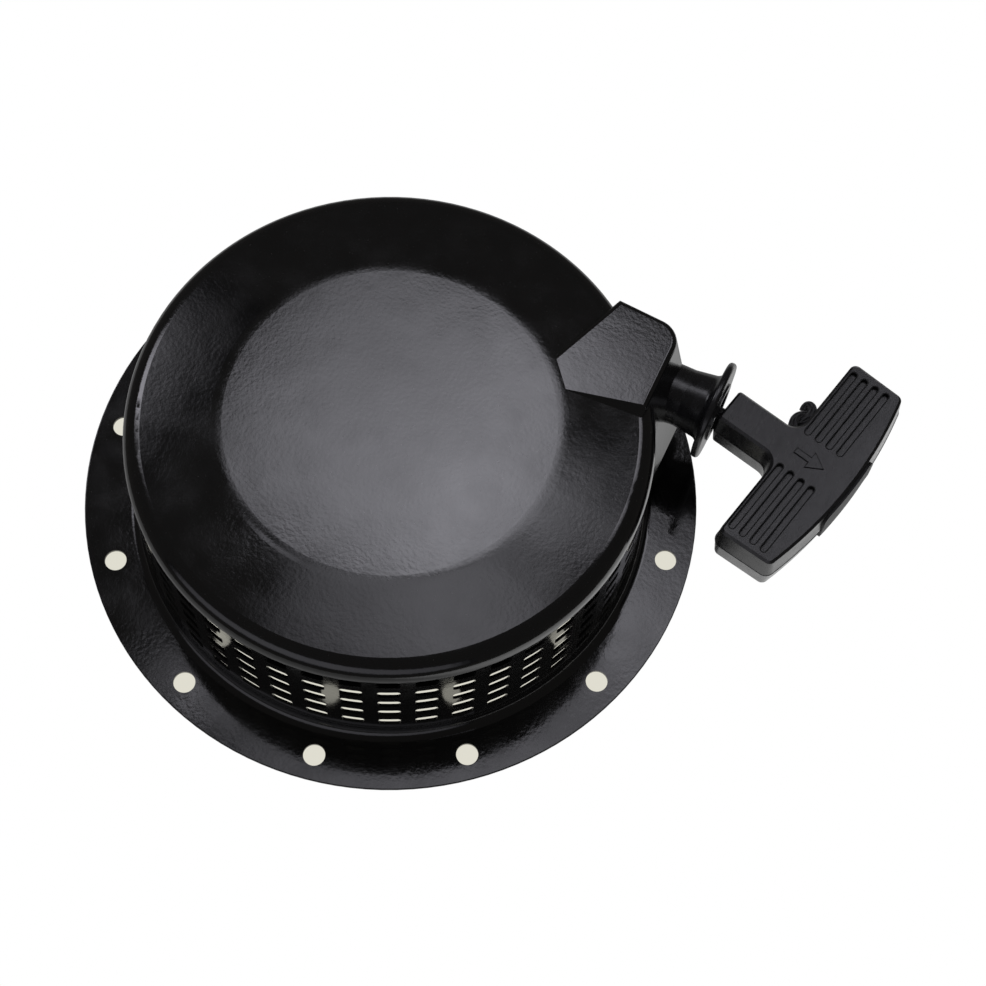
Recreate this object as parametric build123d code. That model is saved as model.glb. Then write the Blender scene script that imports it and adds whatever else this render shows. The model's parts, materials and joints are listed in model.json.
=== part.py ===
from build123d import *
import math
import os

# Recoil starter for a small air-cooled engine.  Millimetres, +Z up.
# Origin: centre of the mounting flange, on its underside.
# +Z: towards the closed top of the housing.  +X: the way the rope leaves the rope guide.

# ---------------------------------------------------------------- driving dimensions
SHEET = 1.2                 # pressed steel of the housing
FLANGE_R = 130.0
WALL_R = 106.0              # outside of the side wall
HEIGHT = 75.0               # flange underside to flat top
FLAT_R = 68.5               # edge of the flat top
TOP_FALL = 2.7              # how far the top falls from that edge to the shoulder
SHOULDER_R = 8.0
FOOT_R = 4.5                # bend between the side wall and the flange

BOLT_COUNT = 12
BOLT_PCD = 239.0
BOLT_HOLE_R = 4.5
BOLT_PHASE = 10.65          # degrees from +X to the first hole

SLOT_COLUMNS = 45
SLOT_PHASE = -64.5          # degrees from +X to the middle of one column
SLOT_W, SLOT_H, SLOT_CORNER = 9.0, 6.2, 1.6
SLOT_ROWS = [15.5 + 11.5 * row for row in range(5)]
SLOT_FREE = (20.0, 60.0)    # degrees that the rope outlet takes, where no column is cut

ROPE_R = 2.5
ROPE_Y = 74.0               # the rope leaves the reel and the guide along this line
ROPE_Z = 45.0
ROPE_PITCH = 5.2            # from one turn on the reel to the next
HALF_TURNS = 5              # of rope wound on the reel at rest

POST_R = 10.0
POST_END = 35.7             # lower end of the post
SHAFT_GAP = 0.05            # radial gap of a running fit
BOLT_R = 4.0                # M8

REEL_R = 100.4
REEL_TOP = 69.5
PAWL_R = 33.0               # from the reel's axis to each pawl's pin
PAWL_PIN_R = 3.0
PAWL_SWING = 25.0           # degrees, tucked in to fully out
GUIDE_TURN = 20.0           # degrees that the ratchet guide turns to swing the pawls out
PAWL_REST = -80.0           # direction of a pawl's arm when tucked in
PAWL_ARM = 21.0
PEG_ARM = 12.0              # from a pawl's pin to its cam peg
PEG_R = 2.0

HANDLE_YAW = -13.4          # degrees from +X, the handle's stem in plan
HANDLE_AT = (144.6, 67.5)   # where the stem meets the crossbar
HANDLE_LEN = 98.5
HANDLE_END_W = 27.6
HANDLE_BULGE = 5.0          # the outer edge bows out by this much in the middle
HANDLE_HALF_T = 11.2
HANDLE_DRAFT = 6.0          # degrees, each way from the parting line
STEM_LEN = 29.3
STEM_W = 17.6
GROOVE_COUNT, GROOVE_PITCH = 4, 5.2
GROOVE_LEN, GROOVE_W, GROOVE_DEPTH = 36.0, 3.0, 1.6
POCKET_R, POCKET_X = 8.0, 11.0      # the knot's pocket, open to the crossbar's outer edge
CAP_X = 24.0                # inner end of the cap's plug
CAP_LEN, CAP_H = 35.0, 18.0
CAP_PROUD = 3.0             # how far the cap stands out of the crossbar

# Rope outlet: corners of its flat top, counter-clockwise from the near side.  Each side leans out by its
# draft, and the near side first falls away as a shallow ramp.
OUTLET_TOP = [(57.1, 42.0), (89.0, 49.4), (89.0, 87.2), (60.8, 88.8), (47.0, 54.2)]
OUTLET_DRAFT = [8.0, 12.0, 4.0, 14.0, 0.0]
OUTLET_BOTTOM = 25.0
RAMP_RUN, RAMP_DROP = 6.0, 3.0
OUTLET_FAR_R, OUTLET_NEAR_R, OUTLET_RIM_R = 10.0, 5.0, 2.4

# Rope guide, by X along the rope's line.
GUIDE_R = 12.4              # where it passes the housing's wall
GUIDE_GAP = 0.1             # around it in the wall
GUIDE_X0, GUIDE_X1 = 80.0, 114.3
DISC_X0, DISC_X1, DISC_R = 110.2, 113.5, 21.0
RING_X0, RING_X1 = 84.0, 86.0

# Stack on the centre bolt, by Z.
POST_TOP = HEIGHT - SHEET
POST_FLANGE_R, POST_FLANGE_T = 24.0, 2.0
THRUST_T = 1.5
COLLAR_R = 7.0
COLLAR_END = 17.3
WASHER_T = 2.0
HEAD_H = 5.5

# Reel.
GROOVE = (ROPE_Z - 2.9, ROPE_Z + 2.9)
PLATE_T = 2.0
DRUM_R = 58.0               # the rope's innermost turn bears on this
DRUM_IN = 54.0
WEB = (54.0, 56.5)
RIB_END = 46.0              # lower edge of the ribs under the web
HUB_R = 16.0
HUB_END = 36.0
SPRING_Z0, SPRING_Z1 = 57.0, 69.0
SPRING_T = 0.8
SCREW_AT = [(52.5, 40.0 + 120.0 * i) for i in range(3)]     # radius and degrees

# Pawls and ratchet guide, by Z.
PAWL_Z = (30.4, 35.6)
GUIDE_Z = (24.0, 26.5)
PIN_Z = (28.2, 45.5)
CLIP_Z = (29.4, 30.1)       # groove for the pin's clip

os.makedirs("parts", exist_ok=True)

BASE = (Align.CENTER, Align.CENTER, Align.MIN)


# ---------------------------------------------------------------- helpers
def ring(r_in, r_out, z0, z1):
    """A plain washer or tube about the Z axis."""
    return disc(r_out, z0, z1) - disc(r_in, z0, z1)


def disc(r, z0, z1, at=(0, 0)):
    return Pos(at[0], at[1], z0) * Cylinder(r, z1 - z0, align=BASE)


def lathe(points, rounds=()):
    """Turn a closed outline of (radius, z) points about Z, with some of its corners rounded."""
    face = make_face(Polyline(*[(r, 0, z) for r, z in points], close=True)).face()
    for (r, z), radius in rounds:
        face = round_corner(face, (r, 0, z), radius)
    return revolve(face, Axis.Z)


def round_corner(face, at, radius):
    corner = face.vertices().sort_by_distance(Vector(*at))[0]
    return face.fillet_2d(radius, [corner])


def polar(r, degrees):
    return (r * math.cos(math.radians(degrees)), r * math.sin(math.radians(degrees)))


def offset_polygon(corners, lean):
    """Corners of a polygon whose sides each move out by their own distance."""
    lines = []
    for i, (x0, y0) in enumerate(corners):
        x1, y1 = corners[(i + 1) % len(corners)]
        length = math.hypot(x1 - x0, y1 - y0)
        nx, ny = (y1 - y0) / length, -(x1 - x0) / length
        lines.append((nx, ny, nx * x0 + ny * y0 + lean[i]))
    result = []
    for i in range(len(lines)):
        a, b, c = lines[i - 1]
        d, e, f = lines[i]
        det = a * e - b * d
        result.append(((c * e - b * f) / det, (a * f - c * d) / det))
    return result


def knot(lobe_r, spread):
    """A rope knot's outer shape: three lobes side by side about the X axis."""
    lobes = [Pos(0, *polar(spread, 90 + 120 * i)) * Sphere(lobe_r) for i in range(3)]
    return lobes[0] + lobes[1] + lobes[2]


# ---------------------------------------------------------------- housing
def dome_solid(inset):
    """The housing's outer shape, or with an inset the space inside the sheet."""
    r, top = WALL_R - inset, HEIGHT - inset
    floor = SHEET - inset
    edge_z = top - TOP_FALL
    skirt_r = WALL_R + 20
    points = [(0, -1), (skirt_r, -1), (skirt_r, floor), (r, floor), (r, edge_z), (FLAT_R, top), (0, top)]
    rounds = [((r, floor), FOOT_R + inset), ((r, edge_z), SHOULDER_R - inset), ((FLAT_R, top), 60.0)]
    return lathe(points, rounds)


def is_steep(edge):
    return abs(edge.tangent_at(0.5).Z) > 0.25


def outlet_outline(z, inset):
    """Outline of the rope outlet at one height."""
    depth = HEIGHT - inset - z
    ramp = RAMP_RUN * min(1.0, depth / RAMP_DROP)
    lean = [depth * math.tan(math.radians(draft)) - inset for draft in OUTLET_DRAFT]
    lean[0] += ramp
    points = offset_polygon(OUTLET_TOP, lean)
    return make_face(Polyline(*[(x, y, z) for x, y in points], close=True))


def outlet_solid(inset):
    """The rope outlet's outer shape, or with an inset the space inside its sheet."""
    top, bottom = HEIGHT - inset, OUTLET_BOTTOM + inset
    body = loft([outlet_outline(z, inset) for z in (bottom, top - RAMP_DROP, top)], ruled=True)
    steep = body.edges().filter_by(is_steep)
    body = fillet([e for e in steep if e.center().X > 75 and e.center().Y > 75], OUTLET_FAR_R - inset)
    steep = body.edges().filter_by(is_steep)
    near_front = [e for e in steep if e.center().X > 85 and e.center().Y < 55 and e.center().Z < 60]
    body = fillet(near_front, OUTLET_NEAR_R - inset)
    rim = body.faces().sort_by(Axis.Z)[-1].outer_wire().edges()
    return fillet([e for e in rim if e.center().Y > 52], OUTLET_RIM_R - inset)


def vent_slots():
    """Cutters for the columns of slots around the wall."""
    cutter = extrude(Plane.YZ * RectangleRounded(SLOT_W, SLOT_H, SLOT_CORNER), 12.0)
    cutters = []
    for column in range(SLOT_COLUMNS):
        degrees = SLOT_PHASE + 360.0 / SLOT_COLUMNS * column
        if SLOT_FREE[0] < degrees < SLOT_FREE[1]:
            continue
        for z in SLOT_ROWS:
            cutters.append(Rot(0, 0, degrees) * Pos(WALL_R - 6.0, 0, z) * cutter)
    return cutters


def starter_housing():
    flange = disc(FLANGE_R, 0, SHEET)
    flange = fillet(flange.edges(), 0.4)
    outer = flange + (dome_solid(0) & disc(WALL_R + 15, 0, HEIGHT)) + outlet_solid(0)
    shell = outer - dome_solid(SHEET) - outlet_solid(SHEET)
    shell -= Pos(OUTLET_TOP[1][0], ROPE_Y, ROPE_Z) * Rot(0, 90, 0) * Cylinder(GUIDE_R + GUIDE_GAP, 40)
    holes = []
    for i in range(BOLT_COUNT):
        degrees = BOLT_PHASE + 360 / BOLT_COUNT * i
        holes.append(disc(BOLT_HOLE_R, -1, 3, polar(BOLT_PCD / 2, degrees)))
    return shell - holes - vent_slots()


# ---------------------------------------------------------------- rope guide
def along_rope(points, rounds=()):
    """Turn an outline of (radius, x) points about the rope's line through the guide."""
    return Pos(0, ROPE_Y, ROPE_Z) * Rot(0, 90, 0) * lathe(points, rounds)


def rope_guide():
    bore, flare_r, collar_r, mouth_r = 4.0, 14.0, 12.6, 10.2
    seat = GUIDE_R - 1.2
    outline = [
        (bore, GUIDE_X0), (GUIDE_R, GUIDE_X0), (GUIDE_R, RING_X0 - 0.05), (seat, RING_X0 - 0.05),
        (seat, RING_X1 + 0.05), (GUIDE_R, RING_X1 + 0.05), (GUIDE_R, 99.0), (flare_r, DISC_X0),
        (DISC_R, DISC_X0), (DISC_R, DISC_X1), (collar_r, DISC_X1), (collar_r, GUIDE_X1),
        (mouth_r, GUIDE_X1), (bore, 97.0),
    ]
    rounds = [((DISC_R, x), 1.4) for x in (DISC_X0, DISC_X1)]
    rounds += [((flare_r, DISC_X0), 3.0), ((bore, 97.0), 12.0)]
    return along_rope(outline, rounds)


def guide_retaining_ring():
    r_in, r_out = GUIDE_R - 1.15, 13.8
    clip = along_rope([(r_in, RING_X0), (r_out, RING_X0), (r_out, RING_X1), (r_in, RING_X1)])
    gap = Pos((RING_X0 + RING_X1) / 2, ROPE_Y, ROPE_Z - 14) * Box(6, 5, 10)
    return clip - gap


# ---------------------------------------------------------------- post and centre bolt
def centre_post():
    post = disc(POST_R, POST_END, POST_TOP) + disc(POST_FLANGE_R, POST_TOP - POST_FLANGE_T, POST_TOP)
    post -= disc(BOLT_R, POST_END - 1, 50.0)
    slit = Pos(0, -POST_R, (SPRING_Z0 + SPRING_Z1) / 2) * Box(2 * SPRING_T, 12, SPRING_Z1 - SPRING_Z0 + 1)
    return post - slit


def thrust_washer():
    return ring(BOLT_R + 0.2, 15.0, POST_END - THRUST_T, POST_END)


def spacer_collar():
    return ring(BOLT_R + 0.2, COLLAR_R, COLLAR_END, POST_END - THRUST_T)


def friction_washer():
    washer = ring(BOLT_R + 0.2, 14.0, COLLAR_END - WASHER_T, COLLAR_END)
    rim = washer.edges().group_by(Axis.Z)[0].sort_by(SortBy.RADIUS)[-1:]
    return fillet(rim, 0.8)


def lock_washer():
    washer = ring(BOLT_R + 0.2, 7.2, COLLAR_END - 2 * WASHER_T, COLLAR_END - WASHER_T)
    split = Pos(5.5, 0, COLLAR_END - 1.5 * WASHER_T) * Rot(20, 0, 0) * Box(5, 1.0, 5)
    return washer - split


def centre_bolt():
    """Hexagon bolt up into the post, its head's rim chamfered by a cone."""
    top = COLLAR_END - 2 * WASHER_T
    head = extrude(Pos(0, 0, top - HEAD_H) * RegularPolygon(7.5, 6), HEAD_H)
    cone = Pos(0, 0, top - HEAD_H) * Cone(6.6, 13.0, 6.4, align=BASE)
    shank = disc(BOLT_R - 0.05, top, 47.0)
    shank = chamfer(shank.edges().group_by(Axis.Z)[-1], 0.8)
    return (head & cone) + shank


# ---------------------------------------------------------------- reel
def rope_route():
    """The wound rope from its tangent point, spiralling in, and then in through the drum."""
    start = Vector(0, ROPE_Y, ROPE_Z)
    radius = ROPE_Y - ROPE_PITCH / 4
    side = 1
    arcs = []
    for _ in range(HALF_TURNS):
        centre_y = start.Y - side * radius
        middle = Vector(-side * radius, centre_y, ROPE_Z)
        end = Vector(0, centre_y - side * radius, ROPE_Z)
        arcs.append(ThreePointArc(start, middle, end))
        start, side, radius = end, -side, radius - ROPE_PITCH / 2
    bend, turn = 15.0, 72.0
    centre = Vector(0, start.Y + bend, ROPE_Z)
    middle = centre + Vector(*polar(bend, turn / 2 - 90), 0)
    end = centre + Vector(*polar(bend, turn - 90), 0)
    arcs.append(ThreePointArc(start, middle, end))
    heading = Vector(*polar(1, turn), 0)
    tail = end + heading * 2.5
    arcs.append(Line(end, tail))
    return arcs, tail, heading


def tube(edges, radius):
    wire = Wire(edges)
    section = Plane(origin=wire @ 0, z_dir=wire % 0) * Circle(radius)
    return sweep(section, path=wire)


def reel():
    """Rope drum with its two flanges, a web above for the spring and a hub that runs on the post."""
    z0, z1 = GROOVE
    low, high = z0 - PLATE_T, z1 + PLATE_T
    bore, top_r = POST_R + SHAFT_GAP, REEL_R - 2
    outline = [
        (bore, HUB_END), (HUB_R, HUB_END), (HUB_R, WEB[0]), (DRUM_IN, WEB[0]), (DRUM_IN, low), (REEL_R, low),
        (REEL_R, z0), (DRUM_R, z0), (DRUM_R, z1), (top_r, z1), (top_r, high), (DRUM_R, high),
        (DRUM_R, REEL_TOP), (DRUM_IN, REEL_TOP), (DRUM_IN, WEB[1]), (bore, WEB[1]),
    ]
    body = lathe(outline, [((DRUM_R, high), 3.0), ((HUB_R, WEB[0]), 3.0)])
    rib_len = DRUM_IN - HUB_R + 1
    rib = Pos(HUB_R - 0.5 + rib_len / 2, 0, (RIB_END + WEB[0]) / 2) * Box(rib_len, 2.4, WEB[0] - RIB_END + 0.4)
    for i in range(8):
        body += Rot(0, 0, 45 * i) * rib
    fin = Pos((DRUM_R + REEL_R) / 2, 0, low - 1.4) * Box(REEL_R - DRUM_R - 6, 1.8, 3.2)
    for i in range(16):
        body += Rot(0, 0, 22.5 * i) * fin
    for i in range(2):
        at = polar(PAWL_R, 180 * i)
        body += disc(8.0, HUB_END, WEB[0] + 0.2, at)
        body -= disc(PAWL_PIN_R, HUB_END - 1, RIB_END, at)
    for r, degrees in SCREW_AT:
        at = polar(r, degrees)
        body += disc(3.6, WEB[1] - 0.2, REEL_TOP, at)
        body -= disc(1.25, REEL_TOP - 9, REEL_TOP + 1, at)
    arcs, _, _ = rope_route()
    body -= tube(arcs[-2:], ROPE_R + 0.4)
    lug = Pos(0, 52, (WEB[1] + REEL_TOP) / 2) * Box(8, 9, REEL_TOP - WEB[1])
    hook_slot = Pos(0, 49.5, (WEB[1] + REEL_TOP) / 2) * Box(2 * SPRING_T, 5, 20)
    return body + lug - hook_slot


def rope_coil():
    arcs, _, _ = rope_route()
    return tube(arcs, ROPE_R)


def rope_anchor_knot():
    """The rope's inner end, knotted hard against the inside of the drum."""
    _, end, heading = rope_route()
    angle = math.degrees(math.atan2(heading.Y, heading.X))
    place = Pos(end.X, end.Y, end.Z) * Rot(0, 0, angle)
    return place * Pos(3.5, 0, 0) * knot(3.4, 1.9)


def mainspring():
    """Flat strip, closely wound against the reel's wall and then opening in to the post."""
    half_turns = [46.6 - 0.65 * i for i in range(8)] + [38.0, 33.4, 28.8, 24.2, 19.6, 15.4, 12.65]
    y, side = half_turns[0], 1
    body = None
    for radius in half_turns:
        centre_y = y - side * radius
        band = ring(radius - SPRING_T / 2, radius + SPRING_T / 2, SPRING_Z0, SPRING_Z1)
        half = Pos(-side * 50, 0, 60) * Box(100, 200, 100)
        piece = Pos(0, centre_y, 0) * (band & half)
        body = piece if body is None else body + piece
        y, side = centre_y - side * radius, -side
    height = SPRING_Z1 - SPRING_Z0
    inner_hook = Pos(0, -7.9, SPRING_Z0 + height / 2) * Box(SPRING_T, 6.0, height)
    outer_hook = Pos(0, 48.6, SPRING_Z0 + height / 2) * Box(SPRING_T, 4.8, height)
    return body + inner_hook + outer_hook


def spring_cover():
    """Steel plate that keeps the spring in the reel, with six slots to show and grease it."""
    cover = ring(26.5, DRUM_R, REEL_TOP, REEL_TOP + 0.8)
    for r, degrees in SCREW_AT:
        cover -= disc(1.7, REEL_TOP - 1, REEL_TOP + 2, polar(r, degrees))
    for i in range(6):
        slot = extrude(Pos(0, 0, REEL_TOP - 1) * SlotCenterToCenter(12, 5), 3)
        cover -= Rot(0, 0, 60 * i) * Pos(40, 0, 0) * slot
    return cover


def cover_screws():
    screws = []
    for r, degrees in SCREW_AT:
        at = polar(r, degrees)
        head = disc(2.8, REEL_TOP + 0.8, REEL_TOP + 2.4, at)
        head = fillet(head.edges().group_by(Axis.Z)[-1], 0.8)
        screws.append(head + disc(1.2, REEL_TOP - 8, REEL_TOP + 0.8, at))
    return screws


# ---------------------------------------------------------------- pawls and ratchet guide
def pawl_at(index):
    return Rot(0, 0, 180 * index) * Pos(PAWL_R, 0, 0) * Rot(0, 0, PAWL_REST)


def pawl(index):
    """Flat pawl with a hooked tip and a round peg under it that the ratchet guide steers."""
    eye = Circle(6.6)
    arm = Pos(PAWL_ARM - 3.6, 0.6) * Circle(3.6)
    plate = make_hull((eye + arm).edges())
    body = extrude(Pos(0, 0, PAWL_Z[0]) * plate, PAWL_Z[1] - PAWL_Z[0])
    tip_cut = Pos(PAWL_ARM + 2.4, -2.0, 33) * Rot(0, 0, 24) * Box(5, 16, 10)
    body -= tip_cut
    body -= disc(PAWL_PIN_R + SHAFT_GAP, 20, 40)
    body += disc(PEG_R, GUIDE_Z[0] + 0.4, PAWL_Z[0] + 0.2, (PEG_ARM, 0))
    return pawl_at(index) * body


def pawl_pins():
    pins = []
    for i in range(2):
        pin = disc(PAWL_PIN_R, *PIN_Z) - ring(2.2, 4, *CLIP_Z)
        pins.append(Rot(0, 0, 180 * i) * Pos(PAWL_R, 0, 0) * pin)
    return pins


def pawl_clips():
    clips = []
    for i in range(2):
        clip = ring(2.25, 4.8, CLIP_Z[0] + 0.05, CLIP_Z[1] - 0.05) - Pos(4, 0, CLIP_Z[0]) * Box(6, 3.4, 4)
        clips.append(Rot(0, 0, 180 * i) * Pos(PAWL_R, 0, 0) * Rot(0, 0, 35) * clip)
    return clips


def cam_point(share):
    """Where a pawl's peg is on the ratchet guide, as the guide lags and the pawl swings out."""
    swing = math.radians(PAWL_REST + PAWL_SWING * share)
    x = PAWL_R + PEG_ARM * math.cos(swing)
    y = PEG_ARM * math.sin(swing)
    back = -math.radians(GUIDE_TURN * share)
    return (x * math.cos(back) - y * math.sin(back), x * math.sin(back) + y * math.cos(back))


def ratchet_guide():
    """Turned-down plate on the spacer collar, with two curved cam slots for the pawls' pegs."""
    z0, z1 = GUIDE_Z
    bore, boss_r, lip_r, rim_r = COLLAR_R + SHAFT_GAP, 11.0, 44.6, 47.0
    lip_z, boss_z = z0 - 3.0, 33.6
    outline = [
        (bore, z0), (lip_r, z0), (lip_r, lip_z), (rim_r, lip_z), (rim_r, z1), (boss_r, z1), (boss_r, boss_z),
        (bore, boss_z),
    ]
    body = lathe(outline, [((rim_r, z1), 2.0), ((boss_r, z1), 1.5)])
    path = ThreePointArc(cam_point(-0.03), cam_point(0.5), cam_point(1.03))
    slot = SlotArc(path, 2 * (PEG_R + 0.35))
    for i in range(2):
        body -= Rot(0, 0, 180 * i) * extrude(Pos(0, 0, 20) * slot, 10)
    for i in range(4):
        body -= disc(5.0, 20, 30, polar(27, 90 * i + 45))
    return body


def friction_spring():
    """Open coil between the friction washer and the ratchet guide."""
    wire, pitch, turns = 1.4, 2.1, 2.2
    helix = Helix(pitch, pitch * turns, 9.6, cone_angle=0)
    path = Pos(0, 0, COLLAR_END + 0.15 + wire / 2) * helix
    return tube([path], wire / 2)


# ---------------------------------------------------------------- handle and rope end
HANDLE_FRAME = Pos(HANDLE_AT[0], HANDLE_AT[1], ROPE_Z) * Rot(0, 0, HANDLE_YAW)


def handle_outline():
    """T outline in the handle's own plan: stem along X, crossbar along Y, inner edge at X = 0."""
    half, w = HANDLE_LEN / 2, STEM_W / 2
    end_x, end_y = HANDLE_END_W - 1.0, half - 1.0
    straight = Polyline(
        (end_x, -end_y), (0, -half), (0, -w), (-STEM_LEN, -w),
        (-STEM_LEN, w), (0, w), (0, half), (end_x, end_y),
    )
    bow = ThreePointArc((end_x, end_y), (HANDLE_END_W + HANDLE_BULGE, 0), (end_x, -end_y))
    face = make_face([straight, bow]).face()
    for side in (1, -1):
        for x, y, radius in [(0, w, 5.0), (0, half, 4.0), (-STEM_LEN, w, 2.5), (end_x, end_y, 4.0)]:
            face = round_corner(face, (x, side * y, 0), radius)
    return face


def arrow_mark():
    """Plain arrow that shows which way to pull."""
    points = [(5, -1.2), (12, -1.2), (12, -4), (18.5, 0), (12, 4), (12, 1.2), (5, 1.2)]
    return make_face(Polyline(*points, close=True))


def handle_body():
    """The T in two drafted halves about the parting line."""
    lower = extrude(handle_outline(), HANDLE_HALF_T, dir=(0, 0, -1), taper=HANDLE_DRAFT)
    lower = chamfer(lower.faces().sort_by(Axis.Z)[0].outer_wire().edges(), 1.0)
    return lower + mirror(lower, about=Plane.XY)


def handle_grip():
    """The T, grooved for the fingers and bored for the rope, with the pocket for its knot."""
    body = handle_body()
    groove = extrude(Rot(0, 0, 90) * SlotOverall(GROOVE_LEN, GROOVE_W), GROOVE_DEPTH + 1)
    for side in (1, -1):
        for i in range(GROOVE_COUNT):
            x, y = 4.2 + GROOVE_PITCH * i, side * (26.4 + 0.1 * i)
            body -= Pos(x, y, HANDLE_HALF_T - GROOVE_DEPTH) * groove
            body -= Pos(x, y, -HANDLE_HALF_T - 1) * groove
    body += extrude(Pos(0, 0, HANDLE_HALF_T - 0.2) * arrow_mark(), 0.6)
    bore = Rot(0, 90, 0) * Cylinder(ROPE_R + 0.6, 120)
    pocket = Pos(POCKET_X, 0, 0) * Rot(0, 90, 0) * Cylinder(POCKET_R, 30, align=BASE)
    mouth = Pos(-STEM_LEN, 0, 0) * Rot(0, 90, 0) * Cone(5.5, 3.1, 4, align=BASE)
    return HANDLE_FRAME * (body - bore - pocket - mouth)


def handle_cap():
    """Plug that closes the knot's pocket, with a bowed plate on the crossbar's outer edge."""
    plug_len = HANDLE_END_W + HANDLE_BULGE + CAP_PROUD / 2 - CAP_X
    plug = Pos(CAP_X, 0, 0) * Rot(0, 90, 0) * Cylinder(POCKET_R - 0.05, plug_len, align=BASE)
    band = Pos(CAP_PROUD, 0, -HANDLE_HALF_T) * extrude(handle_outline(), 2 * HANDLE_HALF_T, dir=(0, 0, 1))
    window = Pos(CAP_X, 0, 0) * extrude(Plane.YZ * RectangleRounded(CAP_LEN, CAP_H, 4.0), 20)
    plate = (band & window) - handle_body()
    return HANDLE_FRAME * (plate + plug)


def handle_washer():
    return HANDLE_FRAME * Rot(0, 90, 0) * ring(3.0, 7.6, POCKET_X + 0.05, POCKET_X + 1.6)


def handle_knot():
    return HANDLE_FRAME * Pos(POCKET_X + 6.2, 0, 0) * knot(4.2, 2.6)


def rope_tail_knot():
    """The rope's spare end, knotted small, where it stands out of the crossbar's inner edge."""
    sizes = [((-2.0, 13.6, 0.4), 2.7), ((-2.6, 17.8, 0), 3.2), ((-2.6, 22.6, 0), 3.4)]
    lobes = [Pos(*at) * Sphere(r) for at, r in sizes]
    return HANDLE_FRAME * (lobes[0] + lobes[1] + lobes[2])


def rope_run():
    """The rope from the reel, straight through the guide and then to the knot in the handle."""
    ahead = Vector(*polar(1, HANDLE_YAW), 0)
    root = Vector(HANDLE_AT[0], HANDLE_AT[1], ROPE_Z)
    bend = root + ahead * ((ROPE_Y - HANDLE_AT[1]) / ahead.Y)
    end = root + ahead * (POCKET_X + 1.0)
    path = FilletPolyline((0, ROPE_Y, ROPE_Z), (bend.X, bend.Y, bend.Z), (end.X, end.Y, end.Z), radius=40)
    return tube(path.edges(), ROPE_R)


# ---------------------------------------------------------------- write the parts
PARTS = {
    "starter_housing": starter_housing,
    "rope_guide": rope_guide,
    "guide_retaining_ring": guide_retaining_ring,
    "centre_post": centre_post,
    "thrust_washer": thrust_washer,
    "spacer_collar": spacer_collar,
    "friction_washer": friction_washer,
    "lock_washer": lock_washer,
    "centre_bolt": centre_bolt,
    "reel": reel,
    "rope_coil": rope_coil,
    "rope_anchor_knot": rope_anchor_knot,
    "mainspring": mainspring,
    "spring_cover": spring_cover,
    "cover_screws": cover_screws,
    "pawl_1": lambda: pawl(0),
    "pawl_2": lambda: pawl(1),
    "pawl_pins": pawl_pins,
    "pawl_clips": pawl_clips,
    "ratchet_guide": ratchet_guide,
    "friction_spring": friction_spring,
    "handle_grip": handle_grip,
    "handle_cap": handle_cap,
    "handle_washer": handle_washer,
    "handle_knot": handle_knot,
    "rope_tail_knot": rope_tail_knot,
    "rope_run": rope_run,
}


def save(name, shape):
    """Write one part's STEP file; a list of shapes becomes one group of solids."""
    if isinstance(shape, list):
        shape = Compound(children=[solid for item in shape for solid in item.solids()])
    else:
        solids = shape.solids()
        shape = solids[0] if len(solids) == 1 else Compound(children=solids)
    export_step(shape, f"parts/{name}.step")


if __name__ == "__main__":
    for name, make in PARTS.items():
        save(name, make())
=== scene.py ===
import json
import math

import bpy
from mathutils import Matrix, Quaternion, Vector


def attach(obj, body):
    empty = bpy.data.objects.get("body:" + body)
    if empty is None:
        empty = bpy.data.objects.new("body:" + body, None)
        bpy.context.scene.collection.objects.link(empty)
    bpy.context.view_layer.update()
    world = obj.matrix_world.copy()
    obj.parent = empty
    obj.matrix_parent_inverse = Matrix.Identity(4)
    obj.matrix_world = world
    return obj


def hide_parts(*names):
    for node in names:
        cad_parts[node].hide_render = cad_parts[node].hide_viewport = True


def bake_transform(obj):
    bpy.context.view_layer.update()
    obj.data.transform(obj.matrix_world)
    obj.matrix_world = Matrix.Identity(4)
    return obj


# Looks of the recoil starter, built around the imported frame.  Metres, in the frame of the CAD.

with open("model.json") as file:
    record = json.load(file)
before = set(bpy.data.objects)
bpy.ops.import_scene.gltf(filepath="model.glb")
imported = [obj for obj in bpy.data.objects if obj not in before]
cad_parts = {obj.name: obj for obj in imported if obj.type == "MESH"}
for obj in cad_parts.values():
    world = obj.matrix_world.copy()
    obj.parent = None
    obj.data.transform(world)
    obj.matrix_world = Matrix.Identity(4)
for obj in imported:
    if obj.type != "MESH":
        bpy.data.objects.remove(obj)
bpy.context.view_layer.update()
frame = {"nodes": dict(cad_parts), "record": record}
nodes = frame["nodes"]

MM = 0.001

# Camera
CAMERA_AT = Vector((0.1643, -0.3173, 0.8318))
CAMERA_AIM = Vector((0.0386, 0.0189, 0.0))
CAMERA_ROLL = 4.774         # degrees, about the camera's own back axis
CAMERA_LENS = 77.4          # millimetres, on a 36 mm wide sensor

# Rope, as in the CAD
ROPE_R = 2.5 * MM
ROPE_Y = 74.0 * MM
ROPE_Z = 45.0 * MM
ROPE_PITCH = 5.2 * MM
HALF_TURNS = 5
ANCHOR_BEND, ANCHOR_TURN, ANCHOR_TAIL = 15.0 * MM, 72.0, 2.5 * MM
KNOT_POINTS = 90
KNOT_START, KNOT_GAP = 0.35, 0.5    # radians of the knot's own line, left open between its two ends

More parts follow.
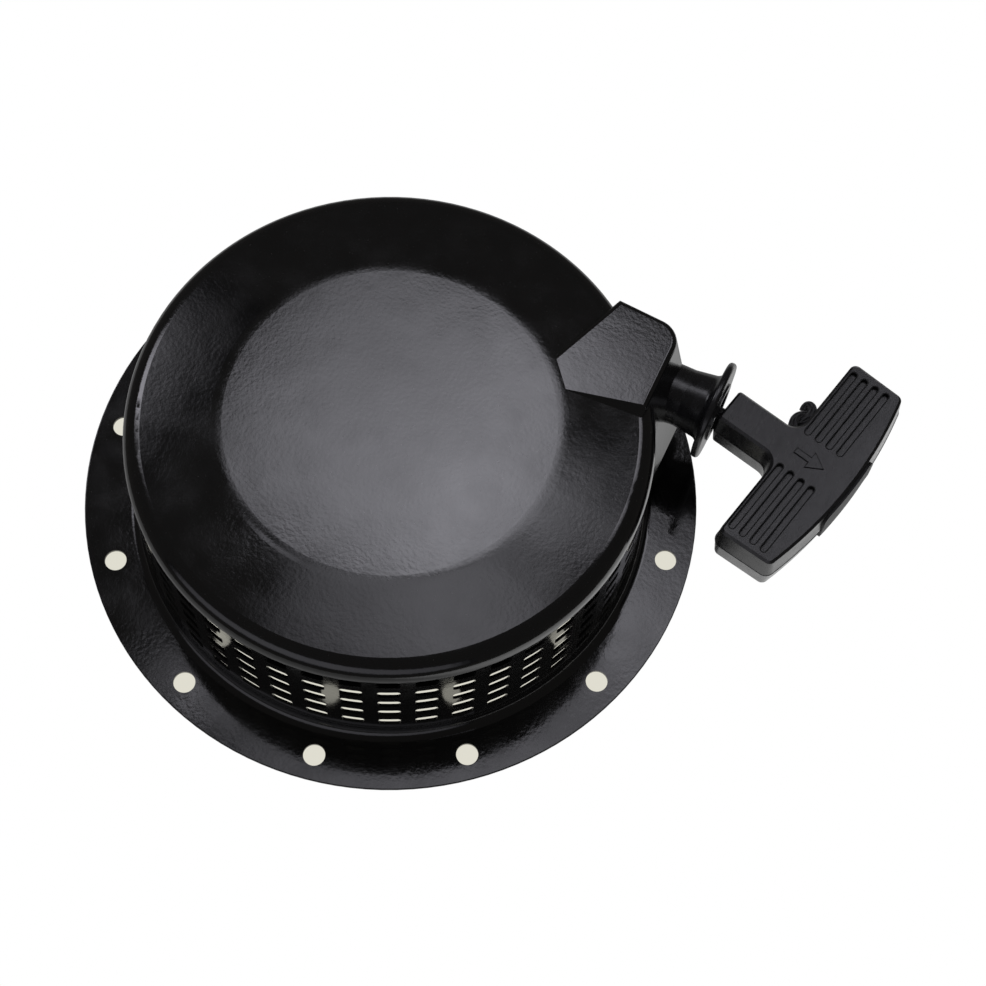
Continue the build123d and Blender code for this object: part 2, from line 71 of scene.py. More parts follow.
# Handle, as in the CAD
HANDLE_YAW = math.radians(-13.4)
HANDLE_AT = Vector((144.6 * MM, 67.5 * MM, ROPE_Z))
POCKET_X = 11.0 * MM
POCKET_R = 8.0 * MM
RUN_BEND_R = 40.0 * MM
HANDLE_HALF_T = 11.2 * MM
HANDLE_DRAFT = math.radians(6.0)
BOW_X, BOW_R = 32.6 * MM, 197.0 * MM    # middle and radius of the crossbar's outer edge
CAP_PROUD = 3.0 * MM
GROOVE_COUNT, GROOVE_PITCH = 4, 5.2 * MM
GROOVE_LEN, GROOVE_W = 36.0 * MM, 3.0 * MM
GROOVE_X, GROOVE_Y = 4.2 * MM, 26.4 * MM    # middle of the groove nearest the stem, on either side
GROOVE_SHIFT = 0.1 * MM     # outwards, from one groove to the next
ARROW = [(5, -1.2), (12, -1.2), (12, -4), (18.5, 0), (12, 4), (12, 1.2), (5, 1.2)]    # millimetres
MARK_PROUD = 0.4 * MM

# Detail of the handle that only the visual model has
CAP_SHOWN = 1.1 * MM        # how far the drawn-in plate of the cap stands out of the drafted edge
# Thin dark lines laid round the grooves and the arrow: painted shade for the grooves' shaded walls and the
# arrow's edge
SHADE_LINE_R, SHADE_LINE_SHOWN = 0.3 * MM, 0.16 * MM
FLASH_R = 0.16 * MM

# Knots: the unit of the knot's line, and the radius of the rope, pulled tight
ANCHOR_KNOT = (1.02 * MM, 2.1 * MM)
GRIP_KNOT = (1.5 * MM, 2.3 * MM)
TAIL_KNOT = (1.9 * MM, 1.9 * MM)
ANCHOR_KNOT_AHEAD = 3.5 * MM            # past the end of the wound rope
GRIP_KNOT_X = POCKET_X + 6.2 * MM
TAIL_KNOT_X, TAIL_KNOT_Y = -2.4 * MM, 18.2 * MM
TAIL_STRETCH, TAIL_FLATTEN = 1.3, 0.62  # along the crossbar, and in height

# Points along the routes
TURN_STEPS = 40             # in half a turn of the wound rope
BEND_STEPS = 16             # in the bend between the guide and the handle
STRAIGHT_STEPS = 30         # from the reel to that bend
PULL_STEPS = 40             # from that bend to the handle, which stretches as the rope pays out
ARC_STEPS = 12              # in the anchor's bend, and in each end of a groove

# Floor and light
PANEL_Z = 1.3               # height of the diffusers over the part
PANEL_COLOUR = (0.97, 0.96, 1.05)
FLOOR_R = 0.3               # the lit sheet that the part lies on; past it the studio is dark
FLOOR_Z = -0.6 * MM
FLOOR_FADE = (0.10, 0.15)   # in X, between the housing's side of the sheet and the handle's
FLOOR_DIM = 0.3             # share of its light that the housing's side reflects
SHADED_FLOOR_R, SHADED_FLOOR_Z = 0.126, -0.3 * MM     # a dimmer cream sheet under the housing, seen through its holes: painted shade of the floor that the housing shades
DISC_SIDES = 96
SURROUND = 0.065            # brightness of the surround in reflections

BRAID_PITCH = 3.4 * MM      # along the rope, from one strand to the next
BRAID_STRANDS = 8           # that wind each way round it


# ---------------------------------------------------------------- node helpers
def new_material(name, colour, roughness, metallic=0.0):
    """A Principled material; the constant values are set on the shader's own sockets."""
    material = bpy.data.materials.new(name)
    material.use_nodes = True
    shader = material.node_tree.nodes["Principled BSDF"]
    shader.inputs["Base Color"].default_value = (*colour, 1.0)
    shader.inputs["Roughness"].default_value = roughness
    shader.inputs["Metallic"].default_value = metallic
    return material, material.node_tree, shader


def math_node(tree, operation, a, b=None):
    node = tree.nodes.new("ShaderNodeMath")
    node.operation = operation
    for socket, value in zip(node.inputs, (a, b)):
        if isinstance(value, (int, float)):
            socket.default_value = value
        elif value is not None:
            tree.links.new(value, socket)
    return node.outputs[0]


def object_coordinates(tree):
    return tree.nodes.new("ShaderNodeTexCoord").outputs["Object"]


def noise(tree, scale, detail=2.0, roughness=0.5, stretch=None):
    """Noise in object space; its features are about 1 / scale metres wide."""
    coordinates = object_coordinates(tree)
    if stretch is not None:
        mapping = tree.nodes.new("ShaderNodeMapping")
        mapping.inputs["Scale"].default_value = stretch
        tree.links.new(coordinates, mapping.inputs["Vector"])
        coordinates = mapping.outputs["Vector"]
    node = tree.nodes.new("ShaderNodeTexNoise")
    node.inputs["Scale"].default_value = scale
    node.inputs["Detail"].default_value = detail
    node.inputs["Roughness"].default_value = roughness
    tree.links.new(coordinates, node.inputs["Vector"])
    return node.outputs["Fac"]


def spread(tree, value, low, high, from_low=0.3, from_high=0.7):
    """Maps a noise's usual range onto low to high."""
    node = tree.nodes.new("ShaderNodeMapRange")
    node.inputs["From Min"].default_value = from_low
    node.inputs["From Max"].default_value = from_high
    node.inputs["To Min"].default_value = low
    node.inputs["To Max"].default_value = high
    tree.links.new(value, node.inputs["Value"])
    return node.outputs["Result"]


def bump(tree, shader, layers):
    """Stacks bumps of (height, distance in metres, strength) under the shader's normal."""
    normal = None
    for height, distance, strength in layers:
        node = tree.nodes.new("ShaderNodeBump")
        node.inputs["Distance"].default_value = distance
        node.inputs["Strength"].default_value = strength
        tree.links.new(height, node.inputs["Height"])
        if normal is not None:
            tree.links.new(normal, node.inputs["Normal"])
        normal = node.outputs["Normal"]
    tree.links.new(normal, shader.inputs["Normal"])


def tint(tree, shader, value, dark, light):
    """Colours the shader between two colours by a 0 to 1 value."""
    ramp = tree.nodes.new("ShaderNodeValToRGB")
    ramp.color_ramp.elements[0].color = (*dark, 1.0)
    ramp.color_ramp.elements[1].color = (*light, 1.0)
    tree.links.new(value, ramp.inputs["Fac"])
    tree.links.new(ramp.outputs["Color"], shader.inputs["Base Color"])


# ---------------------------------------------------------------- materials
def housing_paint():
    """Gloss black enamel: orange peel over slow waves in the pressed sheet, with faint specks of dust."""
    black = (0.008, 0.008, 0.008)
    material, tree, shader = new_material("housing_paint", black, 0.1)
    shader.inputs["Specular IOR Level"].default_value = 0.5
    shader.inputs["Coat Weight"].default_value = 0.35
    shader.inputs["Coat Roughness"].default_value = 0.06
    peel = noise(tree, 640.0, 2.0, 0.5)
    waves = noise(tree, 70.0, 2.0)
    bump(tree, shader, [(waves, 0.00017, 0.5), (peel, 0.00007, 0.5)])
    tree.links.new(spread(tree, noise(tree, 70.0, 4.0), 0.07, 0.17), shader.inputs["Roughness"])
    specks = spread(tree, noise(tree, 1500.0, 1.0), 0.0, 1.0, 0.74, 0.8)
    tint(tree, shader, specks, black, (0.06, 0.06, 0.06))
    return material


def moulded_plastic(name, colour, roughness, grain):
    """Moulded plastic with a fine grain, slow shrink marks and faint scuffs."""
    material, tree, shader = new_material(name, colour, roughness)
    fine = noise(tree, 2600.0, 2.0)
    slow = noise(tree, 120.0, 2.0)
    bump(tree, shader, [(slow, 0.00012, 0.35), (fine, grain, 0.5)])
    scuffs = noise(tree, 260.0, 6.0, 0.7, (1.0, 0.25, 1.0))
    tree.links.new(spread(tree, scuffs, roughness - 0.07, roughness + 0.1), shader.inputs["Roughness"])
    light = tuple(1.6 * channel for channel in colour)
    tint(tree, shader, spread(tree, noise(tree, 300.0, 5.0), 0.0, 1.0), colour, light)
    return material


def grip_rubber():
    """Matte black rubber, a little paler where it is worn."""
    material, tree, shader = new_material("grip_rubber", (0.006, 0.006, 0.006), 0.62)
    fine = noise(tree, 1800.0, 3.0)
    bump(tree, shader, [(fine, 0.00006, 0.7)])
    worn = spread(tree, noise(tree, 200.0, 5.0), 0.0, 1.0)
    tint(tree, shader, worn, (0.005, 0.005, 0.005), (0.012, 0.012, 0.012))
    return material


def zinc_steel():
    """Zinc plate with a faint yellow cast and spangle."""
    material, tree, shader = new_material("zinc_steel", (0.62, 0.61, 0.57), 0.3, 1.0)
    cloud = noise(tree, 220.0, 4.0)
    tint(tree, shader, spread(tree, cloud, 0.0, 1.0), (0.5, 0.49, 0.45), (0.68, 0.66, 0.58))
    tree.links.new(spread(tree, noise(tree, 700.0, 3.0), 0.22, 0.42), shader.inputs["Roughness"])
    bump(tree, shader, [(noise(tree, 900.0, 3.0), 0.00004, 0.4)])
    return material


def spring_steel():
    """Blued strip with lengthwise rolling lines and an oily film."""
    material, tree, shader = new_material("spring_steel", (0.12, 0.15, 0.22), 0.25, 1.0)
    rolled = noise(tree, 400.0, 3.0, 0.6, (0.2, 0.2, 6.0))
    blueing = spread(tree, noise(tree, 60.0, 3.0), 0.0, 1.0)
    tint(tree, shader, blueing, (0.08, 0.1, 0.17), (0.22, 0.21, 0.2))
    tree.links.new(spread(tree, rolled, 0.16, 0.36), shader.inputs["Roughness"])
    bump(tree, shader, [(rolled, 0.00003, 0.4)])
    return material


def hard_steel():
    """Case-hardened steel, dark and mottled, a little polished where it rubs."""
    material, tree, shader = new_material("hard_steel", (0.16, 0.155, 0.15), 0.38, 1.0)
    mottle = noise(tree, 500.0, 5.0, 0.65)
    tint(tree, shader, spread(tree, mottle, 0.0, 1.0), (0.1, 0.1, 0.105), (0.26, 0.245, 0.22))
    tree.links.new(spread(tree, mottle, 0.28, 0.5), shader.inputs["Roughness"])
    bump(tree, shader, [(noise(tree, 1400.0, 3.0), 0.00005, 0.5)])
    return material


def reel_nylon():
    """Glass-filled nylon, with short fibres just under the skin."""
    material, tree, shader = new_material("reel_nylon", (0.02, 0.02, 0.022), 0.45)
    fibres = noise(tree, 900.0, 4.0, 0.7, (1.0, 0.3, 1.0))
    showing = spread(tree, fibres, 0.0, 1.0, 0.45, 0.8)
    tint(tree, shader, showing, (0.016, 0.016, 0.018), (0.06, 0.06, 0.062))
    tree.links.new(spread(tree, noise(tree, 150.0, 4.0), 0.36, 0.55), shader.inputs["Roughness"])
    bump(tree, shader, [(fibres, 0.00004, 0.5)])
    return material


def braid_height(tree, along, around):
    """Height of a braid: strands wind both ways round, and the higher one shows."""
    turns = math_node(tree, "MULTIPLY", along, math.pi / BRAID_PITCH)
    angle = math_node(tree, "MULTIPLY", around, float(BRAID_STRANDS))
    one = math_node(tree, "SINE", math_node(tree, "ADD", turns, angle))
    other = math_node(tree, "SINE", math_node(tree, "SUBTRACT", turns, angle))
    return math_node(tree, "MAXIMUM", one, other)


def rope_fibre(name, along_handle):
    """Black braided polyester, with the strands' crests painted lighter as painted sheen and the hollows
    between them darker as painted shade.
    The coordinates are the rope's own length and angle, or for the stretch that pays out, those about the
    straight line that the handle is pulled along."""
    material, tree, shader = new_material(name, (0.014, 0.014, 0.015), 0.7)
    shader.inputs["Sheen Weight"].default_value = 0.25
    shader.inputs["Sheen Roughness"].default_value = 0.4
    split = tree.nodes.new("ShaderNodeSeparateXYZ")
    if along_handle:
        mapping = tree.nodes.new("ShaderNodeMapping")
        mapping.vector_type = "TEXTURE"
        mapping.inputs["Location"].default_value = HANDLE_AT
        mapping.inputs["Rotation"].default_value = (0, 0, HANDLE_YAW)
        tree.links.new(object_coordinates(tree), mapping.inputs["Vector"])
        tree.links.new(mapping.outputs["Vector"], split.inputs[0])
        around = math_node(tree, "ARCTAN2", split.outputs["Z"], split.outputs["Y"])
    else:
        uv = tree.nodes.new("ShaderNodeUVMap")
        uv.uv_map = "Rope"
        tree.links.new(uv.outputs["UV"], split.inputs[0])
        around = math_node(tree, "MULTIPLY", split.outputs["Y"], 2 * math.pi)
    strands = braid_height(tree, split.outputs["X"], around)
    fluff = noise(tree, 3500.0, 3.0)
    bump(tree, shader, [(strands, 0.0003, 0.8), (fluff, 0.0001, 0.5)])
    # The braid's crests are painted lighter and its hollows darker: painted sheen and painted shade, on top
    # of the bump
    sheen_on_crests = spread(tree, strands, 0.0, 1.0, 0.2, 1.0)
    tint(tree, shader, sheen_on_crests, (0.010, 0.010, 0.011), (0.065, 0.065, 0.067))
    return material


# ---------------------------------------------------------------- rope geometry
def rope_tube(name, points, radius=ROPE_R, sides=20):
    """A round rope along a line of points, with UVs of length in metres and share of a turn."""
    tangents = []
    for i in range(len(points)):
        before, after = points[max(i - 1, 0)], points[min(i + 1, len(points) - 1)]
        tangents.append((after - before).normalized())
    normal = tangents[0].cross(Vector((0, 0, 1)))
    if normal.length < 0.1:
        normal = tangents[0].cross(Vector((0, 1, 0)))
    normal.normalize()
    vertices, lengths, length = [], [], 0.0
    for i, (point, tangent) in enumerate(zip(points, tangents)):
        if i:
            normal = tangents[i - 1].rotation_difference(tangent) @ normal
            length += (point - points[i - 1]).length
        normal = (normal - tangent * normal.dot(tangent)).normalized()
        side = tangent.cross(normal)
        lengths.append(length)
        for k in range(sides):
            angle = 2 * math.pi * k / sides
            vertices.append(point + radius * (math.cos(angle) * normal + math.sin(angle) * side))
    faces, uvs = [], []
    for i in range(len(points) - 1):
        for k in range(sides):
            after = (k + 1) % sides
            faces.append((i * sides + k, i * sides + after, (i + 1) * sides + after, (i + 1) * sides + k))
            share, next_share = k / sides, (k + 1) / sides
            uvs += [(lengths[i], share), (lengths[i], next_share),
                    (lengths[i + 1], next_share), (lengths[i + 1], share)]
    for ring, way in ((0, -1), (len(points) - 1, 1)):
        loop = [ring * sides + k for k in range(sides)]
        faces.append(loop[::way])
        uvs += [(lengths[ring], 0.0)] * sides
    mesh = bpy.data.meshes.new(name)
    mesh.from_pydata(vertices, [], faces)
    layer = mesh.uv_layers.new(name="Rope")
    for loop_index, uv in enumerate(uvs):
        layer.data[loop_index].uv = uv
    mesh.polygons.foreach_set("use_smooth", [True] * len(mesh.polygons))
    mesh.update()
    piece = bpy.data.objects.new(name, mesh)
    bpy.context.scene.collection.objects.link(piece)
    return piece


def polar(radius, degrees):
    return Vector((radius * math.cos(math.radians(degrees)), radius * math.sin(math.radians(degrees)), 0))


def wound_route():
    """The rope on the reel: half turns that spiral in, then a bend in through the drum."""
    points, side = [], 1
    top = ROPE_Y
    radius = ROPE_Y - ROPE_PITCH / 4
    for _ in range(HALF_TURNS):
        centre = Vector((0, top - side * radius, ROPE_Z))
        for i in range(TURN_STEPS):
            points.append(centre + side * polar(radius, 90 + 180 * i / TURN_STEPS))
        top, side, radius = centre.y - side * radius, -side, radius - ROPE_PITCH / 2
    centre = Vector((0, top + ANCHOR_BEND, ROPE_Z))
    for i in range(ARC_STEPS + 1):
        points.append(centre + polar(ANCHOR_BEND, ANCHOR_TURN * i / ARC_STEPS - 90))
    heading = polar(1, ANCHOR_TURN)
    points.append(points[-1] + heading * ANCHOR_TAIL)
    return points, heading


def run_route():
    """The rope from the reel through the guide, round a slight bend and into the handle."""
    ahead = Vector((math.cos(HANDLE_YAW), math.sin(HANDLE_YAW), 0))
    corner = HANDLE_AT + ahead * ((ROPE_Y - HANDLE_AT.y) / ahead.y)
    tangent = RUN_BEND_R * math.tan(abs(HANDLE_YAW) / 2)
    start = Vector((0, ROPE_Y, ROPE_Z))
    into, out = corner - Vector((tangent, 0, 0)), corner + ahead * tangent
    end = HANDLE_AT + ahead * (POCKET_X + 1 * MM)
    points = [start.lerp(into, i / STRAIGHT_STEPS) for i in range(STRAIGHT_STEPS)]
    centre = into - Vector((0, RUN_BEND_R, 0))
    for i in range(BEND_STEPS + 1):
        swing = HANDLE_YAW * i / BEND_STEPS
        points.append(centre + RUN_BEND_R * Vector((-math.sin(swing), math.cos(swing), 0)))
    points += [out.lerp(end, i / PULL_STEPS) for i in range(1, PULL_STEPS + 1)]
    return points, into, ahead


def knot_route(unit, flatten):
    """An overhand knot's line about the X axis, open at one end."""
    points = []
    for i in range(KNOT_POINTS):
        t = KNOT_START + (2 * math.pi - KNOT_GAP) * i / (KNOT_POINTS - 1)
        y = math.sin(t) + 2 * math.sin(2 * t)
        z = math.cos(t) - 2 * math.cos(2 * t)
        points.append(unit * Vector((-1.1 * math.sin(3 * t), y, flatten * z)))
    return points


def tied_knot(name, place, unit, radius, flatten=1.0):
    """A knot of rope; its loops reach three times unit from place."""
    return rope_tube(name, [place @ point for point in knot_route(unit, flatten)], radius)


# ---------------------------------------------------------------- pieces that replace or add to the CAD nodes
ROPE_WOUND = rope_fibre("rope_fibre", False)
ROPE_PAID_OUT = rope_fibre("rope_fibre_straight", True)
GRIP_RUBBER = grip_rubber()
handle_frame = Matrix.Translation(HANDLE_AT) @ Matrix.Rotation(HANDLE_YAW, 4, "Z")


def dress(piece, material, replaced=()):
    """Gives a piece its material, and hides the CAD nodes that it stands for."""
    piece.data.materials.clear()
    piece.data.materials.append(material)
    if replaced:
        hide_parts(*replaced)
    return piece


def add_ropes():
    """The rope on the reel, the rope that is pulled, and their three knots."""
    wound_points, heading = wound_route()
    wound = dress(rope_tube("wound_rope", wound_points), ROPE_WOUND, ["rope_coil"])
    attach(wound, "reel")

    anchor_at = wound_points[-1] + heading * ANCHOR_KNOT_AHEAD
    anchor_place = Matrix.Translation(anchor_at) @ Matrix.Rotation(math.radians(ANCHOR_TURN), 4, "Z")
    anchor = tied_knot("anchor_knot", anchor_place, *ANCHOR_KNOT)
    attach(dress(anchor, ROPE_WOUND, ["rope_anchor_knot"]), "reel")

    run_points, bend_start, ahead = run_route()
    run = dress(rope_tube("pull_rope", run_points), ROPE_PAID_OUT, ["rope_run"])
    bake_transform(run)

    grip_place = handle_frame @ Matrix.Translation((GRIP_KNOT_X, 0, 0))
    grip_knot = tied_knot("grip_knot", grip_place, *GRIP_KNOT)
    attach(dress(grip_knot, ROPE_WOUND, ["handle_knot"]), "handle")

    stretch = Matrix.Diagonal((1.0, TAIL_STRETCH, 1.0, 1.0))
    tail_place = handle_frame @ Matrix.Translation((TAIL_KNOT_X, TAIL_KNOT_Y, 0)) @ stretch
    tail = tied_knot("tail_knot", tail_place, *TAIL_KNOT, TAIL_FLATTEN)
    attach(dress(tail, ROPE_WOUND, ["rope_tail_knot"]), "handle")


def add_parting_line(material):
    """A fine bead of flash where the two halves of the grip's mould met, along the CAD's own edge."""
    near = 0.01 * MM
    mesh = nodes["handle_grip"].data
    to_local = handle_frame.inverted()
    pairs = set()
    for edge in mesh.edges:
        ends = [mesh.vertices[i].co for i in edge.vertices]
        if any(abs(end.z - ROPE_Z) > near for end in ends):
            continue
        if all(abs((to_local @ end).y) < POCKET_R + 0.4 * MM for end in ends):
            continue
        keys = sorted(tuple(round(c, 6) for c in end) for end in ends)
        if keys[0] != keys[1]:
            pairs.add(tuple(keys))
    curve = bpy.data.curves.new("grip_parting_line", "CURVE")
    curve.dimensions = "3D"
    curve.bevel_depth = FLASH_R
    curve.bevel_resolution = 1
    for first, last in sorted(pairs):
        spline = curve.splines.new("POLY")
        spline.points.add(1)
        spline.points[0].co = (*first, 1)
        spline.points[1].co = (*last, 1)
    piece = bpy.data.objects.new("grip_parting_line", curve)
    bpy.context.scene.collection.objects.link(piece)
    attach(dress(piece, material), "handle")


def add_cap():
    """The cap with its plate drawn in, so that it hugs the drafted edge of the crossbar."""
    mesh = nodes["handle_cap"].data.copy()
    to_local = handle_frame.inverted()
    for vertex in mesh.vertices:
        x, y, z = to_local @ vertex.co
        bow = BOW_X - BOW_R + math.sqrt(BOW_R ** 2 - y ** 2)
        surface = bow - abs(z) * math.tan(HANDLE_DRAFT)
        if x > surface:
            x = surface + CAP_SHOWN * (x - surface) / (bow + CAP_PROUD - surface)
        vertex.co = handle_frame @ Vector((x, y, z))
    piece = bpy.data.objects.new("pocket_cap", mesh)
    bpy.context.scene.collection.objects.link(piece)
    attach(dress(piece, GRIP_RUBBER, ["handle_cap"]), "handle")


def groove_rim(x, y):
    """Outline of one finger groove, rounded at both ends."""
    radius, reach = GROOVE_W / 2, (GROOVE_LEN - GROOVE_W) / 2
    points = []
    for end in (1, -1):
        for i in range(ARC_STEPS + 1):
            angle = math.pi * i / ARC_STEPS
            points.append((x + end * radius * math.cos(angle), y + end * (reach + radius * math.sin(angle))))
    return points


def add_groove_shade_lines():
    """Thin dark matte lines round the finger grooves of both faces, and round the arrow on the upper one:
    painted shade for the shaded walls of the grooves and the arrow's edge.
    """
    groove_outlines = [groove_rim(GROOVE_X + GROOVE_PITCH * i, side * (GROOVE_Y + GROOVE_SHIFT * i))
            for side in (1, -1) for i in range(GROOVE_COUNT)]
    curve = bpy.data.curves.new("grip_groove_shade_lines", "CURVE")
    curve.dimensions = "3D"
    curve.bevel_depth = SHADE_LINE_R
    curve.bevel_resolution = 2
    arrow = [(x * MM, y * MM) for x, y in ARROW]
    height = HANDLE_HALF_T + SHADE_LINE_SHOWN - SHADE_LINE_R
    outlines = [(rim, face * height) for rim in groove_outlines for face in (1, -1)]
    outlines.append((arrow, height + MARK_PROUD))
    for outline, z in outlines:
        spline = curve.splines.new("POLY")
        spline.points.add(len(outline) - 1)
        for point, (x, y) in zip(spline.points, outline):
            point.co = (*(handle_frame @ Vector((x, y, z))), 1)
        spline.use_cyclic_u = True
    piece = bpy.data.objects.new("grip_groove_shade_lines", curve)
    bpy.context.scene.collection.objects.link(piece)
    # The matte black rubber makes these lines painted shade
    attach(dress(piece, GRIP_RUBBER), "handle")


def dress_frame():
    """Gives every CAD node the material of its slot, and returns the grip's."""
    paint = housing_paint()
    guide_plastic = moulded_plastic("guide_plastic", (0.012, 0.012, 0.013), 0.22, 0.00001)
    grip_plastic = moulded_plastic("grip_plastic", (0.014, 0.014, 0.0145), 0.24, 0.00005)
    zinc, spring, hard, nylon = zinc_steel(), spring_steel(), hard_steel(), reel_nylon()
    by_slot = {
        "housing_paint": paint,
        "black_plastic": guide_plastic,
        "grip_plastic": grip_plastic,
        "grip_rubber": GRIP_RUBBER,
        "reel_plastic": nylon,
        "zinc_steel": zinc,
        "spring_steel": spring,
        "hard_steel": hard,
        "rope_fibre": ROPE_WOUND,
    }
    for entry in frame["record"]["subparts"]:
        node = nodes[entry["node"]]
        node.data.materials.clear()
        node.data.materials.append(by_slot[entry["material_slot"]])
    return grip_plastic


# ---------------------------------------------------------------- floor, lights and camera
def one_sided(name, colour, strength, near_housing=1.0):
    """Emission that shows from above and lets a camera below see through it.  Reflections of the sheet
    fade to near_housing times its strength on the side away from the handle."""
    material = bpy.data.materials.new(name)
    material.use_nodes = True
    tree = material.node_tree
    tree.nodes.clear()
    glow = tree.nodes.new("ShaderNodeEmission")
    glow.inputs["Color"].default_value = (*colour, 1.0)
    split = tree.nodes.new("ShaderNodeSeparateXYZ")
    tree.links.new(object_coordinates(tree), split.inputs[0])
    faded = spread(tree, split.outputs["X"], near_housing * strength, strength, *FLOOR_FADE)
    path = tree.nodes.new("ShaderNodeLightPath")
    seen = math_node(tree, "MULTIPLY", path.outputs["Is Camera Ray"], strength)
    shown = math_node(tree, "MAXIMUM", seen, faded)
    tree.links.new(shown, glow.inputs["Strength"])
    clear = tree.nodes.new("ShaderNodeBsdfTransparent")
    mix = tree.nodes.new("ShaderNodeMixShader")
    out = tree.nodes.new("ShaderNodeOutputMaterial")
    facing = tree.nodes.new("ShaderNodeNewGeometry")
    tree.links.new(facing.outputs["Backfacing"], mix.inputs[0])
    tree.links.new(glow.outputs[0], mix.inputs[1])
    tree.links.new(clear.outputs[0], mix.inputs[2])
    tree.links.new(mix.outputs[0], out.inputs["Surface"])
    return material


def add_disc(name, radius, z, material):
    angles = [2 * math.pi * i / DISC_SIDES for i in range(DISC_SIDES)]
    rim = [Vector((radius * math.cos(angle), radius * math.sin(angle), z)) for angle in angles]
    mesh = bpy.data.meshes.new(name)
    mesh.from_pydata(rim, [], [tuple(range(DISC_SIDES))])
    mesh.materials.append(material)
    piece = bpy.data.objects.new(name, mesh)
    bpy.context.scene.collection.objects.link(piece)


def glow_profile(tree, value, stops):
    """Brightness along one axis of a panel, through stops of (place in metres, brightness)."""
    first, last = stops[0][0], stops[-1][0]
    share = spread(tree, value, 0.0, 1.0, first, last)
    ramp = tree.nodes.new("ShaderNodeValToRGB")
    ramp.color_ramp.interpolation = "EASE"
    for i, (place, level) in enumerate(stops):
        at = (place - first) / (last - first)
        if i < 2:
            element = ramp.color_ramp.elements[i]
            element.position = at
        else:
            element = ramp.color_ramp.elements.new(at)
        element.color = (level, level, level, 1.0)
    tree.links.new(share, ramp.inputs["Fac"])
    return ramp.outputs["Color"]


def add_panel(name, height, across, along, upright):
    """A diffuser hung over the part, with its stops of (place, brightness) across in X and along in Y.
    Stood upright, it is in front of the part, height away in Y, and along are its stops in Z."""
    material = bpy.data.materials.new(name)
    material.use_nodes = True
    tree = material.node_tree
    tree.nodes.clear()
    split = tree.nodes.new("ShaderNodeSeparateXYZ")
    tree.links.new(object_coordinates(tree), split.inputs[0])
    level = math_node(tree, "MULTIPLY", glow_profile(tree, split.outputs["X"], across),
                      glow_profile(tree, split.outputs["Y"], along))
    glow = tree.nodes.new("ShaderNodeEmission")
    glow.inputs["Color"].default_value = (*PANEL_COLOUR, 1.0)
    tree.links.new(level, glow.inputs["Strength"])
    out = tree.nodes.new("ShaderNodeOutputMaterial")
    tree.links.new(glow.outputs[0], out.inputs["Surface"])
    x0, x1, y0, y1 = across[0][0], across[-1][0], along[0][0], along[-1][0]
    mesh = bpy.data.meshes.new(name)
    corners = [(x0, y0, height), (x0, y1, height), (x1, y1, height), (x1, y0, height)]
    mesh.from_pydata(corners, [], [(0, 1, 2, 3)])
    mesh.materials.append(material)
    panel = bpy.data.objects.new(name, mesh)
    panel.visible_camera = False
    if upright:
        panel.rotation_euler.x = math.pi / 2
    bpy.context.scene.collection.objects.link(panel)


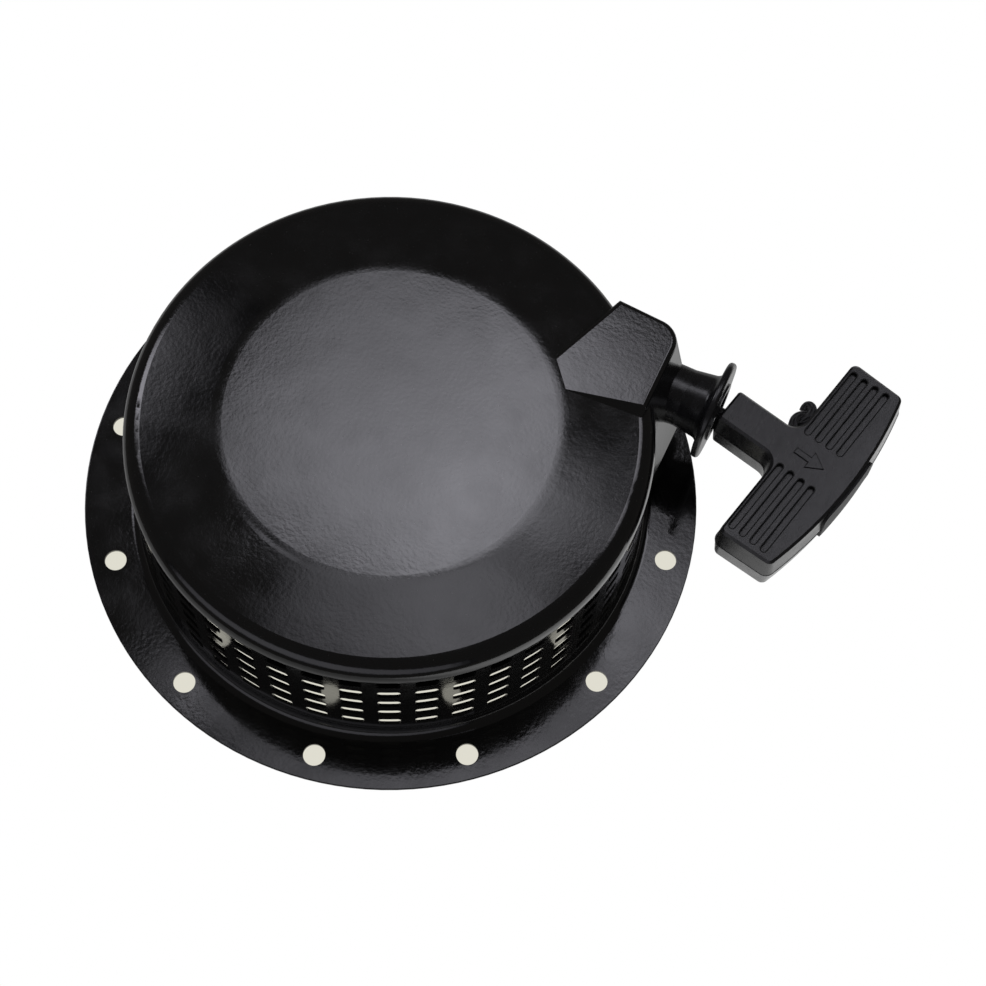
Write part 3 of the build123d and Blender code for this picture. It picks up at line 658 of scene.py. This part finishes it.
# Name, height, stops across in metres and brightness, stops along, and whether it stands upright
PANELS = [
    ("overhead_panel", PANEL_Z,
     [(-0.47, 0.0), (-0.42, 1.7), (-0.35, 2.6), (-0.24, 3.2), (-0.15, 4.2), (-0.08, 3.2), (-0.02, 2.3)],
     [(0.31, 0.0), (0.36, 0.85), (0.45, 1.0), (0.6, 0.8), (0.66, 0.75), (0.71, 0.5), (0.75, 0.0)], False),
    ("right_panel", PANEL_Z,
     [(-0.02, 2.3), (0.05, 2.4), (0.10, 2.0), (0.15, 0.9), (0.19, 0.0)],
     [(0.31, 0.45), (0.38, 0.5), (0.43, 0.95), (0.49, 1.0), (0.54, 0.65), (0.6, 0.25), (0.68, 0.0)], False),
    ("near_panel", PANEL_Z + 0.01,
     [(-0.31, 0.0), (-0.26, 0.9), (-0.2, 1.2), (-0.1, 1.4), (0.0, 1.6), (0.1, 1.4), (0.15, 0.6), (0.2, 0.0)],
     [(0.0, 0.0), (0.05, 0.4), (0.1, 0.75), (0.17, 1.0), (0.3, 1.0), (0.36, 0.0)], False),
    ("corner_panel", PANEL_Z,
     [(-0.42, 0.0), (-0.38, 1.5), (-0.33, 2.1), (-0.29, 1.6), (-0.27, 0.0)],
     [(0.17, 0.0), (0.19, 1.0), (0.22, 1.0), (0.25, 0.0)], False),
    ("left_panel", PANEL_Z,
     [(-1.5, 4.6), (-0.95, 4.6), (-0.84, 3.2), (-0.75, 1.7), (-0.7, 0.7), (-0.65, 0.15), (-0.61, 0.0)],
     [(0.05, 0.0), (0.15, 0.4), (0.25, 1.0), (0.4, 0.95), (0.5, 0.7), (0.58, 0.35), (0.68, 0.0)], False),
    ("front_panel", PANEL_Z,
     [(-1.6, 0.0), (-1.1, 0.55), (0.0, 0.7), (1.1, 0.55), (1.6, 0.0)],
     [(0.1, 0.0), (0.3, 1.0), (0.8, 1.0), (1.1, 0.0)], True),
    ("handle_panel", PANEL_Z + 0.02,
     [(0.17, 0.0), (0.22, 2.2), (0.35, 2.6), (0.5, 1.2), (0.6, 0.0)],
     [(0.4, 0.0), (0.5, 0.9), (0.7, 1.0), (0.95, 0.8), (1.1, 0.0)], False),
]


def add_studio():
    add_disc("floor", FLOOR_R, FLOOR_Z, one_sided("floor_white", (1.0, 1.0, 1.0), 1.0, FLOOR_DIM))
    # The dimmer cream disc under the housing is painted shade of the floor there
    add_disc("shaded_floor_disc", SHADED_FLOOR_R, SHADED_FLOOR_Z, one_sided("floor_painted_shade", (0.8, 0.78, 0.68), 0.92))
    add_world()
    for name, height, across, along, upright in PANELS:
        add_panel(name, height, across, along, upright)


def add_world():
    """A white surround for the camera, and a dim warm one for light and reflections."""
    world = bpy.data.worlds.new("studio")
    bpy.context.scene.world = world
    world.use_nodes = True
    tree = world.node_tree
    tree.nodes.clear()
    seen = tree.nodes.new("ShaderNodeBackground")
    seen.inputs["Color"].default_value = (1, 1, 1, 1)
    seen.inputs["Strength"].default_value = 1.0
    around = tree.nodes.new("ShaderNodeBackground")
    around.inputs["Color"].default_value = (1, 0.95, 0.9, 1)
    around.inputs["Strength"].default_value = SURROUND
    path = tree.nodes.new("ShaderNodeLightPath")
    mix = tree.nodes.new("ShaderNodeMixShader")
    out = tree.nodes.new("ShaderNodeOutputWorld")
    tree.links.new(path.outputs["Is Camera Ray"], mix.inputs[0])
    tree.links.new(around.outputs[0], mix.inputs[1])
    tree.links.new(seen.outputs[0], mix.inputs[2])
    tree.links.new(mix.outputs[0], out.inputs["Surface"])


def add_camera():
    data = bpy.data.cameras.new("camera")
    data.lens = CAMERA_LENS
    data.sensor_width = 36.0
    camera = bpy.data.objects.new("camera", data)
    camera.location = CAMERA_AT
    camera.rotation_mode = "QUATERNION"
    level = (CAMERA_AIM - CAMERA_AT).to_track_quat("-Z", "Y")
    camera.rotation_quaternion = level @ Quaternion((0, 0, 1), math.radians(CAMERA_ROLL))
    bpy.context.scene.collection.objects.link(camera)
    bpy.context.scene.camera = camera


grip_plastic = dress_frame()
add_parting_line(grip_plastic)
add_cap()
add_groove_shade_lines()
add_ropes()
add_studio()
add_camera()
bpy.context.scene.view_settings.view_transform = "Standard"
